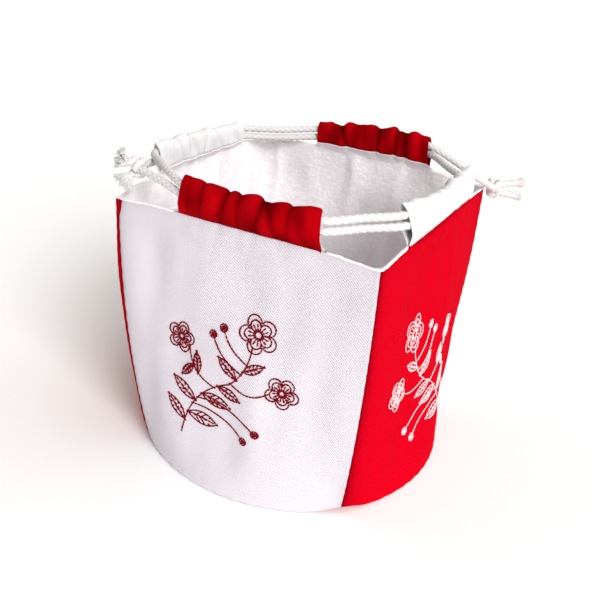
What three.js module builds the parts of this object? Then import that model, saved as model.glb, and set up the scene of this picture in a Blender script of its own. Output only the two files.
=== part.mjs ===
// Drawstring bento bag: four sewn cloth panels on a rounded base, a loose lining inside,
// a gathered casing along the top of each panel, and two knotted drawcords through the casings.
// Millimetres, +Z up. The origin is the middle of the base, on the floor.
// The front panel faces -Y, the right one +X, the back one +Y and the left one -X.

import * as THREE from 'three';
import { mergeVertices } from 'three/addons/utils/BufferGeometryUtils.js';

// Outside of the bag: the side of the square through the four seams, and how far each panel bows out of it
const panelHeight = 170;
const bellyHeight = 76;
const baseSide = 143;
const baseBow = 27;
const bellySide = 164;
const bellyBow = 12;
const mouthSide = 168.4;
const mouthBow = 3;
const topRise = 2.5;
const hemRadius = 8;

// Cloth
const clothThickness = 1.2;
const liningThickness = 1.0;
const liningEase = 0.6;
const layerGap = 0.3;
const seamGap = 0.45;

// Cords and the casings that they run in, with heights from the seam along the panel's top
const cordDiameter = 5;
const cordClearance = 0.75;
const lowerCordHeight = 10;
const upperCordHeight = 15.6;
const casingCloth = 0.9;
const casingLength = 92;
const casingPinch = 4.5;

// Knots and their frayed tails: each knot's reach is measured out from the bag's middle, through its corner
const knotDiameter = 11;
const leftKnotReach = 106;
const leftKnotHeight = 188;
const rightKnotReach = 127;
const rightKnotHeight = 168.5;
const tailLength = 15;
const tailEndDiameter = 8;
const leftTailSpread = 0.5;
const leftTailDip = 0.2;
const rightTailSpread = 0.18;
const rightTailDip = 0.1;

// Free stretches of cord: the straight lead out of a casing, and how far each bows out and stands up
const cordLead = 2;
const cornerBow = 1;
const strandLift = 1;
const loopBow = 4;
const loopLift = 5;
const slackSag = 5;

// Steps of the faceted surfaces
const alongSteps = 12;
const hemSteps = 4;
const wallSteps = 12;
const cordSides = 8;
const stretchSteps = 12;
const curveSteps = 5;

const colours = {
  white: 0xe9e6ec,
  red: 0xd4061c,
  casingRed: 0xb8040f,
  lining: 0xf0eeeb,
  cord: 0xf4f2ee,
};

// The four sides in order round the bag, each a quarter turn on, with its casing's shift along the side
const sides = [
  { name: 'front', cloth: 'white', casing: 'casingRed', casingShift: 6.5 },
  { name: 'right', cloth: 'red', casing: 'white', casingShift: -3 },
  { name: 'back', cloth: 'white', casing: 'casingRed', casingShift: -2 },
  { name: 'left', cloth: 'red', casing: 'white', casingShift: -7 },
];

// Places that several pieces share
const seamHeight = panelHeight + topRise;
const liningDepth = clothThickness + liningEase;
const wallDepth = liningDepth + liningThickness;
const widestShift = Math.max(...sides.map((side) => Math.abs(side.casingShift)));
const casingReach = casingLength / 2 + widestShift;
const casingOffset = mouthSide / 2 + mouthBow - wallDepth / 2;
const casingHalfWidth = cordDiameter / 2 + cordClearance + casingCloth;
const casingFootHeight = seamHeight + layerGap + casingCloth;
const runReach = casingLength / 2 + cordLead;
const upward = new THREE.Vector3(0, 0, 1);

function clothMaterial(colour) {
  return new THREE.MeshStandardMaterial({ color: colours[colour], roughness: 0.9, metalness: 0 });
}

function namedMesh(name, geometry, colour) {
  const mesh = new THREE.Mesh(geometry, clothMaterial(colour));
  mesh.name = name;
  return mesh;
}

function closed(geometry) {
  geometry.deleteAttribute('normal');
  geometry.deleteAttribute('uv');
  return mergeVertices(geometry, 1e-4);
}

// A size that runs smoothly from the floor through the belly to the mouth
function atHeight(z, atFloor, atBelly, atMouth) {
  const floorShare = ((z - bellyHeight) * (z - panelHeight)) / (bellyHeight * panelHeight);
  const bellyShare = (z * (z - panelHeight)) / (bellyHeight * (bellyHeight - panelHeight));
  const mouthShare = (z * (z - bellyHeight)) / (panelHeight * (panelHeight - bellyHeight));
  return atFloor * floorShare + atBelly * bellyShare + atMouth * mouthShare;
}

// A point of the front side: u runs from seam to seam, and inset is measured in from the outside
function sidePoint(u, z, inset, gap) {
  const half = atHeight(z, baseSide, bellySide, mouthSide) / 2 - inset;
  const bow = atHeight(z, baseBow, bellyBow, mouthBow);
  const edge = 1 - gap / (Math.SQRT2 * (half + 2 * bow));
  const across = u * edge;
  return new THREE.Vector3(across * half, -(half + bow * (1 - across * across)), z);
}

// The panel's top is level under the casing and dips towards its two corners
function topHeight(u) {
  const level = casingReach / (mouthSide / 2);
  return panelHeight + topRise * (1 - THREE.MathUtils.smoothstep(Math.abs(u), level, 1));
}

// One layer of a side wall, with its lower edge rolled under towards the base
function wallLayer(depth, thickness) {
  const rows = hemSteps + wallSteps;
  const geometry = new THREE.BoxGeometry(2, rows, thickness, alongSteps, rows, 1);
  const places = geometry.attributes.position;
  for (let i = 0; i < places.count; i += 1) {
    const u = places.getX(i);
    const row = Math.round(places.getY(i) + rows / 2);
    const inset = depth + thickness / 2 - places.getZ(i);
    let point;
    if (row < hemSteps) {
      const turn = (1 - row / hemSteps) * (Math.PI / 2);
      const radius = hemRadius - inset;
      const rolledIn = hemRadius - radius * Math.cos(turn);
      point = sidePoint(u, hemRadius - radius * Math.sin(turn), rolledIn, seamGap);
    } else {
      const share = (row - hemSteps) / wallSteps;
      point = sidePoint(u, hemRadius + share * (topHeight(u) - hemRadius), inset, seamGap);
    }
    places.setXYZ(i, point.x, point.y, point.z);
  }
  return closed(geometry);
}

// One layer of the base, whose edge follows the rolled lower edges of the four sides
function baseLayer(bottom, thickness) {
  const outline = [];
  for (let k = 0; k < sides.length; k += 1) {
    for (let i = 0; i < alongSteps; i += 1) {
      const point = sidePoint((2 * i) / alongSteps - 1, bottom, hemRadius + seamGap, 0);
      point.applyAxisAngle(upward, (k * Math.PI) / 2);
      outline.push(new THREE.Vector2(point.x, point.y));
    }
  }
  const shape = new THREE.Shape(outline);
  const geometry = new THREE.ExtrudeGeometry(shape, { depth: thickness, bevelEnabled: false });
  geometry.translate(0, 0, bottom);
  return closed(geometry);
}

// Half of a casing's drop-shaped loop, from the pinch at the seam up to the fold at the top
function casingLoop(path, foot, halfWidth) {
  const lower = lowerCordHeight + seamHeight - casingFootHeight;
  const upper = upperCordHeight + seamHeight - casingFootHeight;
  const swell = (lower - foot.y) / 2;
  path.moveTo(foot.x, foot.y);
  path.bezierCurveTo(foot.x, foot.y + swell, halfWidth, lower - swell, halfWidth, lower);
  path.lineTo(halfWidth, upper);
  path.absarc(0, upper, halfWidth, 0, Math.PI, false);
  path.lineTo(-halfWidth, lower);
  path.bezierCurveTo(-halfWidth, lower - swell, -foot.x, foot.y + swell, -foot.x, foot.y);
  return path;
}

// A casing stands on the rounded pinch where its two edges are sewn to the panel
function casing() {
  const shape = casingLoop(new THREE.Shape(), new THREE.Vector2(casingCloth, 0), casingHalfWidth);
  shape.absarc(0, 0, casingCloth, Math.PI, 2 * Math.PI, false);
  const innerHalfWidth = casingHalfWidth - casingCloth;
  shape.holes.push(casingLoop(new THREE.Path(), new THREE.Vector2(0, casingPinch), innerHalfWidth));
  const geometry = new THREE.ExtrudeGeometry(shape, {
    depth: casingLength,
    bevelEnabled: false,
    curveSegments: curveSteps,
  });
  geometry.translate(0, 0, -casingLength / 2);
  const inward = new THREE.Vector3(0, 1, 0);
  const along = new THREE.Vector3(1, 0, 0);
  geometry.applyMatrix4(new THREE.Matrix4().makeBasis(inward, upward, along));
  return closed(geometry);
}

// A point on the line that a cord takes through the casing of side k
function inCasing(k, along, height) {
  const point = new THREE.Vector3(sides[k].casingShift + along, -casingOffset, seamHeight + height);
  return point.applyAxisAngle(upward, (k * Math.PI) / 2);
}

// The first two points of a free stretch, straight on from the cord that comes out of a casing
function leadOut(k, way, height) {
  const start = runReach + layerGap;
  return [start, start + cordLead].map((along) => inCasing(k, way * along, height));
}

// The free stretch over the corner after side k, bowed out from the straight line between two casings
function cornerPath(k, height, bow, lift) {
  const leaving = leadOut(k, 1, height);
  const entering = leadOut((k + 1) % sides.length, -1, height).reverse();
  const middle = leaving[1].clone().lerp(entering[0], 0.5);
  const out = new THREE.Vector3(middle.x, middle.y, 0).normalize();
  middle.addScaledVector(out, bow).addScaledVector(upward, lift);
  return new THREE.CatmullRomCurve3([...leaving, middle, ...entering], false, 'centripetal');
}

// The strand from one end of a casing to a knot, ending square to the knot
function strandPath(k, way, height, knotCentre) {
  const leaving = leadOut(k, way, height);
  const middle = leaving[1].clone().lerp(knotCentre, 0.4).addScaledVector(upward, strandLift);
  const out = middle.clone().sub(knotCentre).normalize();
  const seat = knotDiameter / 2 + layerGap;
  const end = knotCentre.clone().addScaledVector(out, seat);
  return new THREE.CatmullRomCurve3([...leaving, middle, end], false, 'centripetal');
}

function cord(path, steps) {
  const section = new THREE.Shape();
  section.absarc(0, 0, cordDiameter / 2, 0, 2 * Math.PI, false);
  const geometry = new THREE.ExtrudeGeometry(section, {
    steps,
    curveSegments: cordSides / 2,
    extrudePath: path,
  });
  return closed(geometry);
}

// The straight run through a casing, which comes a little way out of both ends
function casingRun() {
  const end = new THREE.Vector3(runReach, 0, 0);
  return cord(new THREE.LineCurve3(end.clone().negate(), end), 1);
}

function knot() {
  return closed(new THREE.SphereGeometry(knotDiameter / 2, 2 * cordSides, cordSides));
}

// A frayed cord end along +Y, which widens away from the knot
function tail() {
  const round = 2 * cordSides;
  const geometry = new THREE.CylinderGeometry(tailEndDiameter / 2, cordDiameter / 2, tailLength, round);
  geometry.translate(0, tailLength / 2, 0);
  return closed(geometry);
}

// A knot and its two tails, in a group whose +Y points out over the corner and a little down
function knotGroup(name, centre, spread, dip) {
  const group = new THREE.Group();
  group.position.copy(centre);
  group.rotation.set(-dip, 0, Math.atan2(-centre.x, centre.y), 'ZXY');
  group.add(namedMesh(`${name}_knot`, knot(), 'cord'));
  const seatAngle = Math.asin((cordDiameter + layerGap) / (knotDiameter + 2 * layerGap));
  const tilt = Math.sin(Math.abs(seatAngle - spread));
  const seat = knotDiameter / 2 + layerGap + (cordDiameter / 2) * tilt;
  for (const [place, way] of [['upper', 1], ['lower', -1]]) {
    const end = namedMesh(`${name}_${place}_tail`, tail(), 'cord');
    end.position.set(0, seat * Math.cos(seatAngle), way * seat * Math.sin(seatAngle));
    end.rotation.x = way * spread;
    group.add(end);
  }
  return group;
}

// A knot's centre, over the corner that lies at the given angle round the bag
function knotPlace(reach, angle, height) {
  return new THREE.Vector3(reach * Math.cos(angle), reach * Math.sin(angle), height);
}

const bag = new THREE.Group();

sides.forEach((side, k) => {
  const group = new THREE.Group();
  group.rotation.z = (k * Math.PI) / 2;
  group.add(namedMesh(`${side.name}_panel`, wallLayer(0, clothThickness), side.cloth));
  group.add(namedMesh(`${side.name}_lining`, wallLayer(liningDepth, liningThickness), 'lining'));
  const tunnel = namedMesh(`${side.name}_casing`, casing(), side.casing);
  tunnel.position.set(side.casingShift, -casingOffset, casingFootHeight);
  group.add(tunnel);
  for (const [place, height] of [['lower', lowerCordHeight], ['upper', upperCordHeight]]) {
    const run = namedMesh(`${side.name}_${place}_run`, casingRun(), 'cord');
    run.position.set(side.casingShift, -casingOffset, seamHeight + height);
    group.add(run);
  }
  bag.add(group);
});

bag.add(namedMesh('base_panel', baseLayer(0, clothThickness), 'red'));
bag.add(namedMesh('base_lining', baseLayer(liningDepth, liningThickness), 'lining'));

// Free stretches over the corners: slack at the back left, and the upper cord looped at the front left
const corners = [
  { name: 'front_right_lower', after: 0, height: lowerCordHeight, bow: cornerBow, lift: 0 },
  { name: 'front_right_upper', after: 0, height: upperCordHeight, bow: cornerBow, lift: 0 },
  { name: 'back_right_lower', after: 1, height: lowerCordHeight, bow: cornerBow, lift: 0 },
  { name: 'back_left_lower', after: 2, height: lowerCordHeight, bow: cornerBow, lift: -slackSag },
  { name: 'back_left_upper', after: 2, height: upperCordHeight, bow: cornerBow, lift: -slackSag },
  { name: 'front_left_upper', after: 3, height: upperCordHeight, bow: loopBow, lift: loopLift },
];
for (const { name, after, height, bow, lift } of corners) {
  bag.add(namedMesh(`${name}_cord`, cord(cornerPath(after, height, bow, lift), stretchSteps), 'cord'));
}

// The lower cord is knotted over the front left corner
const leftKnot = knotPlace(leftKnotReach, -0.75 * Math.PI, leftKnotHeight);
bag.add(knotGroup('left', leftKnot, leftTailSpread, leftTailDip));
const leftFront = strandPath(0, -1, lowerCordHeight, leftKnot);
const leftSide = strandPath(3, 1, lowerCordHeight, leftKnot);
bag.add(namedMesh('left_knot_front_strand', cord(leftFront, stretchSteps), 'cord'));
bag.add(namedMesh('left_knot_side_strand', cord(leftSide, stretchSteps), 'cord'));

// The upper cord is knotted over the back right corner
const rightKnot = knotPlace(rightKnotReach, 0.25 * Math.PI, rightKnotHeight);
bag.add(knotGroup('right', rightKnot, rightTailSpread, rightTailDip));
const rightBack = strandPath(2, -1, upperCordHeight, rightKnot);
const rightSide = strandPath(1, 1, upperCordHeight, rightKnot);
bag.add(namedMesh('right_knot_back_strand', cord(rightBack, stretchSteps), 'cord'));
bag.add(namedMesh('right_knot_side_strand', cord(rightSide, stretchSteps), 'cord'));

export default bag;
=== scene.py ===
import math
from functools import partial

import bpy
import numpy as np
from bpy.props import FloatProperty, FloatVectorProperty, IntProperty, PointerProperty
from mathutils import Matrix, Vector


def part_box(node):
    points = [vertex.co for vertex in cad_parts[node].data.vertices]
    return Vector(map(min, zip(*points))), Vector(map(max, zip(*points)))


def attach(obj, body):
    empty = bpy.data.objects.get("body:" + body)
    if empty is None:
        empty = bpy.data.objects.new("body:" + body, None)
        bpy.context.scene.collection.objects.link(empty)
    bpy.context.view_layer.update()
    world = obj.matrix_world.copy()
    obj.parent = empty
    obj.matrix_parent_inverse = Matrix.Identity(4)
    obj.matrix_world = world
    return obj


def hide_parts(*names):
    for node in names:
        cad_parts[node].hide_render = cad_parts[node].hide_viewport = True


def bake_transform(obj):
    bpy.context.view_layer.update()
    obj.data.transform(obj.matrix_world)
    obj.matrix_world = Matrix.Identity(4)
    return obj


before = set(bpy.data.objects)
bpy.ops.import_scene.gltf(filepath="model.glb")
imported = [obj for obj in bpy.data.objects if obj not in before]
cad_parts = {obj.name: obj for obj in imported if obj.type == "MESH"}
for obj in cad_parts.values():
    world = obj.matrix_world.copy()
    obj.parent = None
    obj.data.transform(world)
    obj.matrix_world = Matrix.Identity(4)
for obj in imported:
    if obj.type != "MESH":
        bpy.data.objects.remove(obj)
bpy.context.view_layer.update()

bl_info = {
    "name": "Drawstring Bento Bag",
    "version": (1, 0, 0),
    "blender": (4, 5, 0),
    "location": "View3D > Sidebar > Bento Bag",
    "description": "Sews the cloth, cords and embroidery of a drawstring lunch bag round its frame",
    "category": "Add Mesh",
}

# The bag's form, in metres: the heights of its belly and mouth, and, at the floor, the belly and the mouth,
# the side of the square through its seams and the bow of each panel out of that square
BELLY, MOUTH = 0.076, 0.170
SIDES = (0.1455, 0.1632, 0.1700)
BOWS = (0.0265, 0.0092, 0.0022)

# A panel's edges: how far its top rises above its corners, the share of its width that stays up, the height
# of the seam under its casing, and the radius of its rolled hem, outside and at least in the layers inside
TOP_RISE, TOP_LEVEL = 0.0025, 0.63
SEAM = MOUTH + TOP_RISE
HEM_RADIUS, LEAST_RADIUS = 0.0025, 0.001

# The two bases, each a rounded square, and how far the lining lies above the outer cloth
BASE_GAP = 0.0012

# How far the cloth stays off the table, on its outside and its inside
OUTER_GAP, INNER_GAP = 0.0001, 0.0003

# Corners: half the stretch that each is rounded over, outside and in the lining, and how far the seam after
# each side sits past its corner, all as shares of half a side
CORNER_ROUND = 0.022
LINING_ROUND = 0.055
SEAM_SHIFTS = (0.0, 0.0, 0.0, 0.034)

# How far up a shifted seam begins to run out further, and by how much of its shift
FLARE_FROM, FLARE = 0.92, 0.8

# How far a bottom corner's tuck reaches along the hem and up the seam
TUCK_WIDTH, TUCK_HEIGHT = 0.012, 0.016

# How far the cloth is held still beside a seam and at its top or hem, how far puckers reach, and the depth
# and the reach of the valley at a seam
SEAM_HOLD = 0.012
EDGE_HOLD = 0.030
PUCKER_REACH = 0.006
VALLEY_DEPTH, VALLEY_REACH = 0.0006, 0.0016

# Under a casing: the share of its gathers that goes on in the panel and how far down they reach, and the
# height, the place below the top and the half width of the panel's bulge
GATHER_SHARE, GATHER_REACH = 0.35, 0.014
BULGE, BULGE_DROP, BULGE_WIDTH = 0.0012, 0.007, 0.006

# Painted shade by an edge, as its depth and its reach: at a seam, under a casing and at a casing's foot
SEAM_SHADE, TOP_SHADE, FOOT_SHADE = (1.0, 0.0034), (0.6, 0.0018), (0.6, 0.0016)

# Puckers: their spacing, how far and over what length it drifts, and their height
SEAM_PUCKERS = (0.0083, 1.7, 0.017, 0.00014)
HEM_PUCKERS = (0.0105, 1.5, 0.019, 0.00015)
LINING_PUCKERS = (0.0091, 1.3, 0.021, 0.00020)

# Irregular waves: their length and their seed, to which the number of the side is added
WALL_WAVES, WALL_CREASES = (0.062, 40), (0.026, 50)
LINING_WAVES, LINING_CREASES = (0.060, 60), (0.024, 70)
CASING_PUFFS, CASING_FOOT_WAVES = (0.013, 80), (0.017, 84)
BASE_WAVES, ROLL_WAVES = (0.050, 90), (0.007, 95)

# Their pace upwards as a share of that along a side, and the share of creases among a wall's waves
UPRIGHT, CREASE_SHARE = 0.5, 0.3

# The loose lining: how far it hangs away, and how far it is held beside a seam and at its hem
LINING_HANG, LINING_HOLD, LINING_HEM = 0.0016, 0.02, 0.004

# Its creases: their height, how deep their hollows are beside that, how far below the top they are full, and
# their slant and their pace upwards as shares of that along a side
LINING_CREASE, CREASE_HOLLOW, CREASE_TOP = 0.0010, 0.4, 0.01
CREASE_SLANT, CREASE_PACE = 0.15, 0.12

# Its gathers: their height and how far down they reach
LINING_GATHER, LINING_GATHER_REACH = 0.0005, 0.02

# Its painted shade: how open it lies where it is flat, and the height from its darkest hollows to its
# lightest folds
LINING_OPEN, LINING_RELIEF = 0.82, 0.004

# Its folds: how far they slant and reach as they run down, and, by side, the place along the side, the height
# and the half width of each
LINING_FOLD_SLANT, LINING_FOLD_REACH = 0.06, 0.05
LINING_FOLDS = {
    2: ((0.0700, 0.0024, 0.0030), (0.0100, 0.0016, 0.0040), (-0.0250, 0.0014, 0.0035),
        (-0.0580, 0.0014, 0.0060)),
    3: ((-0.0600, 0.0014, 0.0060), (-0.0200, 0.0009, 0.0050)),
}

# Its rolled edge: how far it climbs the inner leg of a casing and stands off it, and, beside the casing, how
# deep and how high it rolls over the panel's raw edge, how far in and down the roll sits, the height of its
# waves, the angle it turns through, and how far inside the casing's end and over what stretch it begins
LEG_CLIMB, LEG_GAP = 0.0056, 0.0008
ROLL_DEPTH, ROLL_HEIGHT = 0.0009, 0.0008
ROLL_IN, ROLL_DOWN = 0.0006, 0.0002
ROLL_WAVE_HEIGHT = 0.0003
ROLL_ANGLE = 1.05 * math.pi
ROLL_BEFORE, ROLL_STRETCH = 0.0005, 0.003

# Casings: how far out they stand, the height of their foot, their half widths at the foot and at the ends,
# the height over which they swell, the stretch over which they narrow to their ends, and how square they are
CASING_OFFSET = 0.0858
CASING_FOOT = SEAM - 0.001
CASING_PINCH, CASING_MOUTH = 0.0006, 0.0035
CASING_SWELLS, CASING_NARROWS, CASING_SQUARE = 0.0085, 0.011, 6

# Their cloth: its thickness, its width before gathering as a share of what it takes up, the heights of its
# puffs and of the waves at its foot, and how far in it may be drawn
CASING_CLOTH, CASING_FULLNESS = 0.0007, 1.15
PUFF_HEIGHT, FOOT_WAVE_HEIGHT = 0.0007, 0.0007
DRAWN_IN = 0.0019

# Their folds: their width and greatest depth, how steep they are, the height at which their places are given,
# how far from the ends they are full, and the share of their depth that is left at the foot
FOLD_WIDTH, FOLD_DEPTH, FOLD_STEEPNESS = 0.0023, 0.0021, 1.3
FOLD_LEVEL, FOLD_HOLD, FOLD_FOOT = 0.012, 0.006, 0.3

# Their painted shade: its depth in a fold and the share of it that is left at the foot, and the painted light
# on
# # the puffs and how far it varies
FOLD_SHADE, FOLD_SHADE_FOOT = 0.9, 0.45
PUFF_LIGHT, PUFF_VARIES = 0.78, 0.28

# The turned hem at each of their ends: its width, its thickness, the width of the step down from it, and how
# far from the end it is stitched
END_HEM, END_HEM_RISE, END_HEM_STEP, END_HEM_ROW = 0.0042, 0.0003, 0.0008, 0.0046

# Cords: their levels in the casings, the share of a casing's rise that they follow, the length of a step
# along them, how far along a side they are drawn, and the places up to there that their route goes through
CORD_LEVELS = {"lower": SEAM + 0.010, "upper": SEAM + 0.0156}
CORD_HANG = 0.9
CORD_STEP = 0.0005
DRAWN_FROM = 0.036
RUN_PLACES = (0.0, 0.012, 0.024, DRAWN_FROM)

# Their way out of a casing: how far past its end they show, the length of an end that is long enough for one
# more place, and the gap before the end that this place is half way to
CORD_OUT = 0.001
LONG_END, END_GAP = 0.009, 0.003

# The middle of a strand: its share of the way from the casing to the knot, and how far it is lifted
STRAND_MIDDLE, STRAND_LIFT = 0.45, 0.0005

# Their braid: how many strands slant each way, and, as shares of the diameter, the length of a strand's
# step, the radius of the core and the height of a ridge
STRANDS = 4
STRAND_STEP, CORE, RIDGE = 0.92, 0.37, 0.14

# Seeds of the stitches and of the frayed ends
HEM_SEED, SPRIG_SEED, FRAY_SEED = 5, 30, 20

# The four sides in order round the bag, each a quarter turn on
SIDE_NAMES = ("front", "right", "back", "left")
CORNER_AFTER = ("front_right", "back_right", "back_left", "front_left")
HALVES = (-1, 1)

# How far to both sides the rises of a casing's top are evened out
RISE_EVENED = 0.008

# Each casing along its side: its ends, how far the inner leg is cut short there, how far their tops slant
# along the side and lean in over the mouth, how far its top rises or hangs at places along it, and its folds
# as place, depth and slant
CASINGS = (
    {"ends": (-0.0385, 0.0512), "cuts": (0.0, 0.0034), "slants": (0.0040, -0.0012), "leans": (0.0, 0.001),
     "rises": ((-0.039, 0.0016), (-0.020, 0.0002), (0.015, -0.0003), (0.034, 0.0004), (0.052, 0.0014)),
     "folds": ((-0.024, 0.0012, 0.0), (-0.009, 0.0020, 0.2), (0.001, 0.0014, 0.0), (0.014, 0.0019, 0.25),
               (0.0215, 0.0018, -0.3), (0.032, 0.0014, 0.1))},
    {"ends": (-0.0500, 0.0440), "cuts": (0.0015, 0.0), "slants": (0.0, 0.0), "leans": (0.0075, 0.001),
     "rises": ((-0.050, 0.0010), (-0.020, 0.0), (0.0, -0.0004), (0.025, 0.0014), (0.044, 0.0004)),
     "folds": ((-0.028, 0.0010, 0.1), (-0.013, 0.0014, 0.1), (-0.004, 0.0010, 0.0), (0.005, 0.0018, -0.1),
               (0.014, 0.0020, 0.15), (0.022, 0.0016, 0.1), (0.031, 0.0018, 0.0))},
    {"ends": (-0.0447, 0.0396), "cuts": (0.0, 0.0), "slants": (0.0020, 0.0), "leans": (0.001, 0.001),
     "rises": ((-0.045, 0.0010), (-0.025, 0.0034), (0.0, 0.0020), (0.020, -0.0006), (0.040, -0.0038)),
     "folds": ((-0.0275, 0.0014, 0.0), (-0.0205, 0.0021, -0.05), (-0.0068, 0.0021, 0.05),
               (0.004, 0.0007, 0.0), (0.0185, 0.0021, 0.35), (0.030, 0.0009, -0.1))},
    {"ends": (-0.0523, 0.0410), "cuts": (0.0, -0.0020), "slants": (0.0019, 0.0045), "leans": (0.0, 0.0),
     "rises": ((-0.052, -0.0052), (-0.020, -0.0026), (0.013, 0.0002), (0.030, 0.0010), (0.046, -0.0006)),
     "folds": ((-0.042, 0.0007, 0.3), (-0.031, 0.0010, -0.3), (-0.021, 0.0016, 0.35), (-0.014, 0.0008, -0.2),
               (-0.003, 0.0012, -0.4), (0.007, 0.0016, 0.3), (0.013, 0.0009, -0.3), (0.021, 0.0016, 0.2),
               (0.030, 0.0010, -0.2))},
)

# Kinds of property
Length = partial(FloatProperty, unit="LENGTH")
Colour = partial(FloatVectorProperty, size=3, min=0.0, max=1.0, subtype="COLOR")


class BentoBagSizes(bpy.types.PropertyGroup):
    """Sizes of the bag's cloth, cords and stitches"""
    cloth_thickness: Length(
        name="Cloth Thickness", description="Thickness of the outer twill",
        default=0.0012, min=0.0004, max=0.003)
    lining_thickness: Length(
        name="Lining Thickness", description="Thickness of the soft lining",
        default=0.0008, min=0.0004, max=0.003)
    casing_height: Length(
        name="Casing Height", description="Height of the gathered tunnels above the seam",
        default=0.0222, min=0.02, max=0.03)
    casing_width: Length(
        name="Casing Half Width", description="Half the width of the gathered tunnels across the cords",
        default=0.0056, min=0.004, max=0.007)
    wrinkles: Length(
        name="Wrinkles", description="How far the panels ripple in and out",
        default=0.0020, min=0.0, max=0.003)
    corner_tuck: Length(
        name="Corner Tuck", description="How far the bottom corners are drawn up off the table",
        default=0.0045, min=0.0, max=0.01)
    cord_diameter: Length(
        name="Cord Diameter", description="Diameter of the braided drawcords",
        default=0.0047, min=0.003, max=0.008)
    dark_thread: Length(
        name="Dark Thread", description="Thickness of the thread on the white panels",
        default=0.0011, min=0.0003, max=0.002)
    pale_thread: Length(
        name="Pale Thread", description="Thickness of the thread on the red panels",
        default=0.0008, min=0.0003, max=0.002)
    stitch: Length(
        name="Stitch Length", description="Length of one embroidery stitch",
        default=0.0021, min=0.001, max=0.005)
    twill: Length(
        name="Twill Pitch", description="Distance between the diagonal ribs of the twill",
        default=0.0013, min=0.0004, max=0.003)
    fibres: IntProperty(
        name="Fibres", description="Loose fibres in each frayed cord end",
        default=600, min=10, max=900)


class BentoBagColours(bpy.types.PropertyGroup):
    """Colours of the bag's cloth, cords and threads"""
    # Its white is set darker than the casings' and the lining's, which paints part of the shade on the panels
    white_cloth: Colour(
        name="White Cloth", description="White of the front and back panels", default=(0.71, 0.668, 0.725))
    red_cloth: Colour(
        name="Red Cloth", description="Red of the side panels and the base", default=(0.62, 0.0004, 0.011))
    red_casing: Colour(
        name="Red Casing", description="Red of the front and back casings", default=(0.44, 0.0005, 0.004))
    white_casing: Colour(
        name="White Casing", description="White of the side casings", default=(0.93, 0.925, 0.95))
    lining: Colour(
        name="Lining", description="White of the soft lining", default=(0.975, 0.94, 0.965))
    cord: Colour(
        name="Cord", description="White of the braided cotton cords", default=(0.80, 0.785, 0.79))
    dark_thread: Colour(
        name="Dark Thread", description="Thread on the white panels", default=(0.20, 0.003, 0.012))
    pale_thread: Colour(
        name="Pale Thread", description="Thread on the red panels", default=(0.80, 0.70, 0.72))
    floor: Colour(
        name="Floor", description="The pale table under the bag", default=(0.985, 0.985, 0.99))


# Plain geometry

def smooth(x):
    """A soft step from 0 to 1."""
    x = np.clip(x, 0.0, 1.0)
    return x * x * (3 - 2 * x)


def fade(distance, reach):
    """1 at an edge, falling off with the distance from it."""
    return np.exp(-distance / reach)


def lit(distance, shade):
    """How open a place lies to the light, at a distance from a shaded edge."""
    depth, reach = shade
    return 1 - depth * fade(distance, reach)


def bell(distance, width):
    """1 in the middle, falling off softly to both sides."""
    return np.exp(-(distance / width) ** 2)


def ripple(a, b, waves, side=0):
    """Smooth irregular waves, mostly between -1 and 1, over two coordinates."""
    wavelength, seed = waves
    rng = np.random.default_rng(seed + side)
    total = 0.0
    for _ in range(8):
        angle, stretch, phase = rng.uniform((0, 0.7, 0), (math.tau, 1.5, math.tau))
        along = a * math.cos(angle) + b * math.sin(angle)
        total = total + np.sin(math.tau * along / (wavelength * stretch) + phase)
    return total / 3.2


def puckers(along, kind, shift):
    """Small waves along a seam, whose spacing drifts."""
    spacing, drift, length, height = kind
    return height * np.sin(math.tau * along / spacing + drift * np.sin(along / length + shift))


def grids(a, b):
    return np.broadcast_arrays(np.asarray(a, float), np.asarray(b, float))


def turned(points, side):
    """Points of the front side, turned to the given side of the bag."""
    points = np.asarray(points, float)
    cos, sin = ((1, 0), (0, 1), (-1, 0), (0, -1))[side]
    x, y, z = points[..., 0], points[..., 1], points[..., 2]
    return np.stack([cos * x - sin * y, sin * x + cos * y, z], axis=-1)


def unit(vectors):
    return vectors / np.maximum(np.linalg.norm(vectors, axis=-1, keepdims=True), 1e-12)


def steps(points, axis=0):
    """Distances between neighbouring points."""
    return np.linalg.norm(np.diff(points, axis=axis), axis=-1)


def running(lengths):
    """The length travelled up to each point."""
    return np.concatenate([[0], np.cumsum(lengths)])


def normals(surface, a, b, step=1e-3):
    """Unit normals of a surface given as a function of two coordinates."""
    along = surface(a + step, b) - surface(a - step, b)
    across = surface(a, b + step) - surface(a, b - step)
    return unit(np.cross(along, across))


def grid_normals(points):
    """Unit normals of a grid of points, out of the side where rows run right and columns up."""
    return unit(np.cross(np.gradient(points, axis=1), np.gradient(points, axis=0)))


# Walls of the bag, as functions of u from seam to seam and q up from the rolled hem (-1 to 0) to the top (1)

def at_height(z, values):
    """A size that runs smoothly from the floor through the belly to the mouth."""
    floor = (z - BELLY) * (z - MOUTH) / (BELLY * MOUTH)
    belly = z * (z - MOUTH) / (BELLY * (BELLY - MOUTH))
    mouth = z * (z - BELLY) / (MOUTH * (MOUTH - BELLY))
    return values[0] * floor + values[1] * belly + values[2] * mouth


def top_of(u):
    """Height of a panel's top edge, which dips towards its corners."""
    return MOUTH + TOP_RISE * (1 - smooth((np.abs(u) - TOP_LEVEL) / (1 - TOP_LEVEL)))


def bare_wall(u, q, inset):
    rolled = np.clip(-q, 0.0, 1.0) * math.pi / 2
    radius = max(HEM_RADIUS - inset, LEAST_RADIUS)
    hem = inset + radius
    z = np.where(q < 0, hem - radius * np.sin(rolled), hem + q * (top_of(u) - hem))
    depth = np.where(q < 0, hem - radius * np.cos(rolled), inset)
    half = at_height(z, SIDES) / 2 - depth
    bow = at_height(z, BOWS)
    return np.stack([u * half, -(half + bow * (1 - u * u)), z], axis=-1)


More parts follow.
